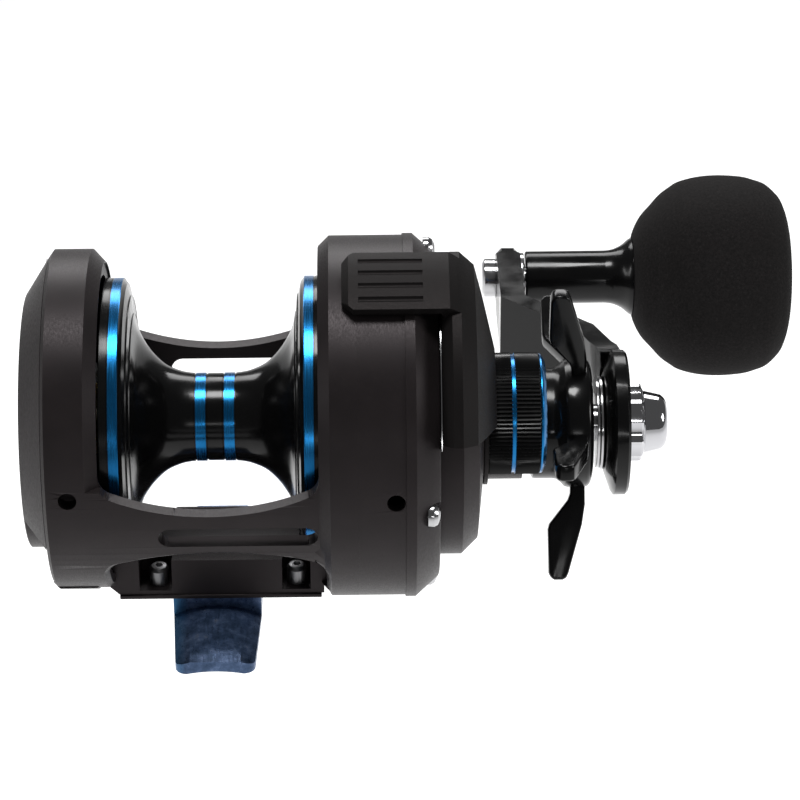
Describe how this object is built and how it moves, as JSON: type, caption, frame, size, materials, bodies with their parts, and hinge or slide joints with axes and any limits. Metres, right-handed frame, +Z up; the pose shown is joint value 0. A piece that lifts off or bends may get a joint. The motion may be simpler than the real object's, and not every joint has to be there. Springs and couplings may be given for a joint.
{
  "type": "trolling reel",
  "caption": "Conventional star-drag fishing reel with an open frame, a clutch lever, a cranked handle with a round power knob, and a foot for a rod seat.",
  "frame": {"origin": "underside of the reel foot, below the middle of the spool", "axes": "+X along the spool axis towards the handle, +Y towards the rod tip, +Z up from the rod"},
  "size_m": [0.1753, 0.1583, 0.0868],
  "materials": {
    "anodised_black": "satin black anodised over a fine machined grain",
    "spool_black": "polished black anodised with azure bands on the flanges and the arbor",
    "anodised_blue": "bright azure anodised, cut with a fine tool",
    "foot_blue": "dark navy anodised, scuffed and mottled",
    "gloss_black": "polished black anodised",
    "knurled_black": "black anodised, finely knurled",
    "lever_plastic": "moulded black, lightly textured",
    "knob_foam": "closed-cell foam, matt with a fine speckle",
    "nut_chrome": "polished",
    "polished_steel": "polished stainless",
    "steel": "turned stainless",
    "gear_brass": "machined",
    "carbon": "woven carbon fibre, dry",
    "seal_rubber": "moulded",
    "spacer_plastic": "turned"
  },
  "bodies": {
    "reel_body": {"frame": "anodised_black", "palm_side_cap": "anodised_black", "palm_cap_screws": "steel", "palm_bearing": "polished_steel", "palm_spacer": "spacer_plastic", "click_spring": "steel", "plate_bearing": "polished_steel", "neck_bearing": "polished_steel", "gear_side_plate": "anodised_black", "gear_cover": "anodised_black", "cover_screws": "polished_steel", "yoke_posts": "steel", "yoke_springs": "steel", "lever_shim": "polished_steel", "shaft_bush": "gear_brass", "roller_clutch": "steel", "boss_seal": "seal_rubber", "foot_plate": "anodised_black", "reel_foot": "foot_blue", "foot_screws": "steel", "cast_spacer": "spacer_plastic"},
    "spool": {"spool": "spool_black", "spool_shaft": "polished_steel", "spool_drive_pin": "steel", "click_gear": "gear_brass"},
    "yoke": {"clutch_yoke": "gear_brass"},
    "pinion": {"pinion": "gear_brass"},
    "lever": {"clutch_lever": "lever_plastic", "clutch_cam": "steel"},
    "clicker": {"click_button": "lever_plastic", "click_tongue": "steel"},
    "handle": {"gear_shaft": "polished_steel", "main_gear": "gear_brass", "carbon_washers": "carbon", "steel_washers": "steel", "pressure_plate": "steel", "arm_washers": "polished_steel", "handle_arm": "gloss_black", "handle_nut": "nut_chrome", "knob_shaft": "polished_steel", "knob_collar": "polished_steel"},
    "star": {"star_wheel": "gloss_black"},
    "drag_nut": {"star_nut": "gear_brass", "spring_washers": "steel", "pressure_sleeve": "polished_steel"},
    "knob": {"knob_sleeve": "gloss_black", "knob_grip": "knob_foam", "knob_bushes": "spacer_plastic"},
    "cast_control": {"cast_cap": "knurled_black", "cast_cap_ring": "anodised_blue"}
  },
  "joints": [
    {"name": "handle_crank", "type": "hinge", "parent": "reel_body", "child": "handle", "pos_m": [0, 0.0207, 0.02835], "axis": [-1, 0, 0], "continuous": true},
    {"name": "spool_spin", "type": "hinge", "parent": "reel_body", "child": "spool", "pos_m": [0, 0, 0.0435], "axis": [-1, 0, 0], "continuous": true},
    {"name": "lever_turn", "type": "hinge", "parent": "reel_body", "child": "lever", "pos_m": [0, 0, 0.0435], "axis": [1, 0, 0], "range_deg": [0, 28]},
    {"name": "yoke_slide", "type": "slide", "parent": "reel_body", "child": "yoke", "axis": [1, 0, 0], "range_m": [0, 0.00241]},
    {"name": "pinion_slide", "type": "slide", "parent": "spool", "child": "pinion", "axis": [1, 0, 0], "range_m": [0, 0.00241]},
    {"name": "click_slide", "type": "slide", "parent": "reel_body", "child": "clicker", "axis": [0, -1, 0], "range_m": [0, 0.0024]},
    {"name": "star_turn", "type": "hinge", "parent": "handle", "child": "star", "pos_m": [0, 0.0207, 0.02835], "axis": [-1, 0, 0], "range_deg": [0, 180]},
    {"name": "drag_nut_slide", "type": "slide", "parent": "star", "child": "drag_nut", "axis": [-1, 0, 0], "range_m": [0, 0.00051]},
    {"name": "knob_spin", "type": "hinge", "parent": "handle", "child": "knob", "pos_m": [0, 0.09556, 0.02377], "axis": [1, 0, 0], "continuous": true},
    {"name": "cast_cap_turn", "type": "hinge", "parent": "reel_body", "child": "cast_control", "pos_m": [0, 0, 0.0435], "axis": [-1, 0, 0], "range_deg": [-180, 180]}
  ],
  "couplings": [
    {"joint": "spool_spin", "follows": "handle_crank", "ratio": -4.7},
    {"joint": "pinion_slide", "follows": "lever_turn", "m_per_rad": 0.0049111},
    {"joint": "yoke_slide", "follows": "lever_turn", "m_per_rad": 0.0049111},
    {"joint": "drag_nut_slide", "follows": "star_turn", "m_per_rad": 0.00015915}
  ]
}
